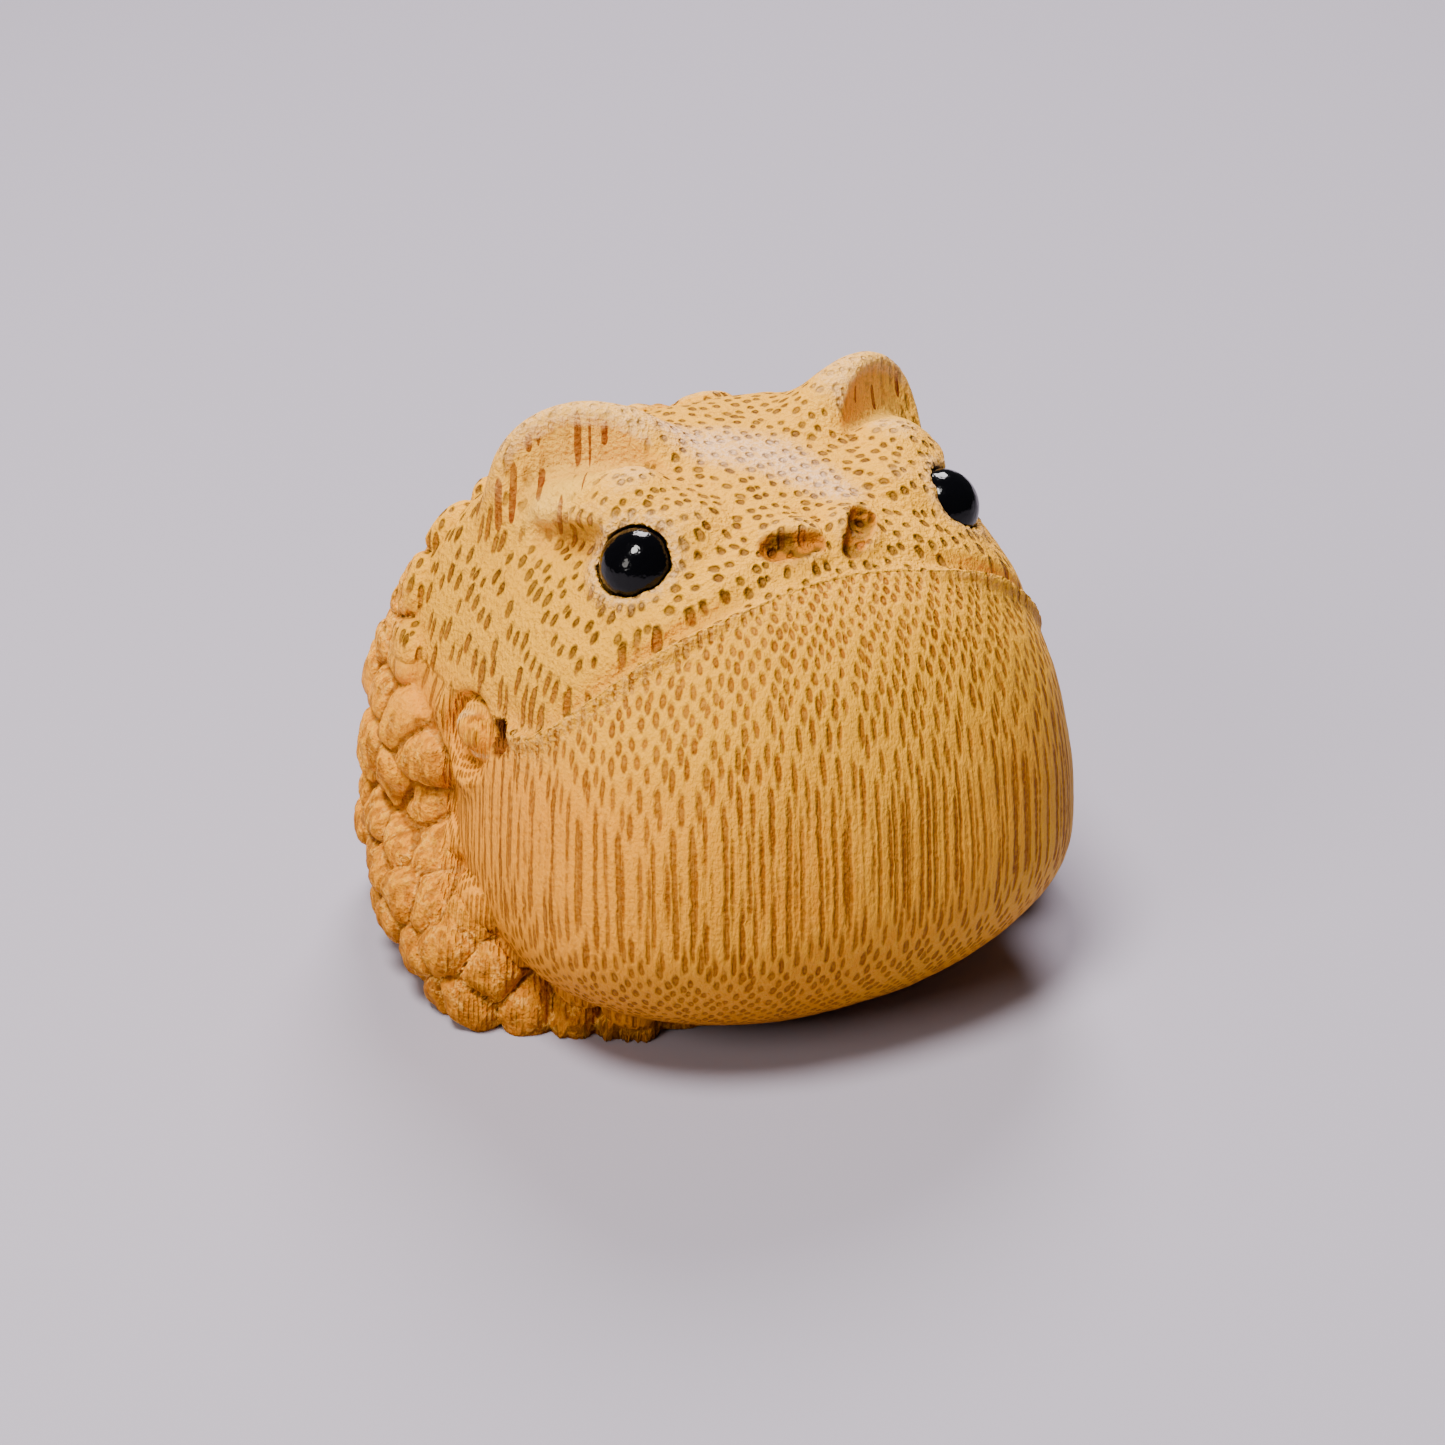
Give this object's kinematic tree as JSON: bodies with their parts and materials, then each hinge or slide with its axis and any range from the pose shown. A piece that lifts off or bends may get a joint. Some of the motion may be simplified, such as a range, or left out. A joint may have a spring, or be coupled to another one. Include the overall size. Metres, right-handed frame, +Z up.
{
  "type": "toad carving",
  "caption": "Small bamboo carving of a fat horned toad with a swollen throat, a warty back and inlaid black bead eyes, flat underneath.",
  "frame": {"origin": "on the ground at the flat underside, under the middle of the body", "axes": "+Z up along the bamboo's fibres, -Y the way the toad faces, -X its right side"},
  "size_m": [0.025, 0.0236, 0.02],
  "materials": {
    "bamboo": "carved bamboo, satin, with orange-brown fibre bundles",
    "black_bead": "polished black"
  },
  "bodies": {
    "root": {"toad_body": "bamboo", "eye_right": "black_bead", "eye_left": "black_bead"}
  },
  "joints": []
}
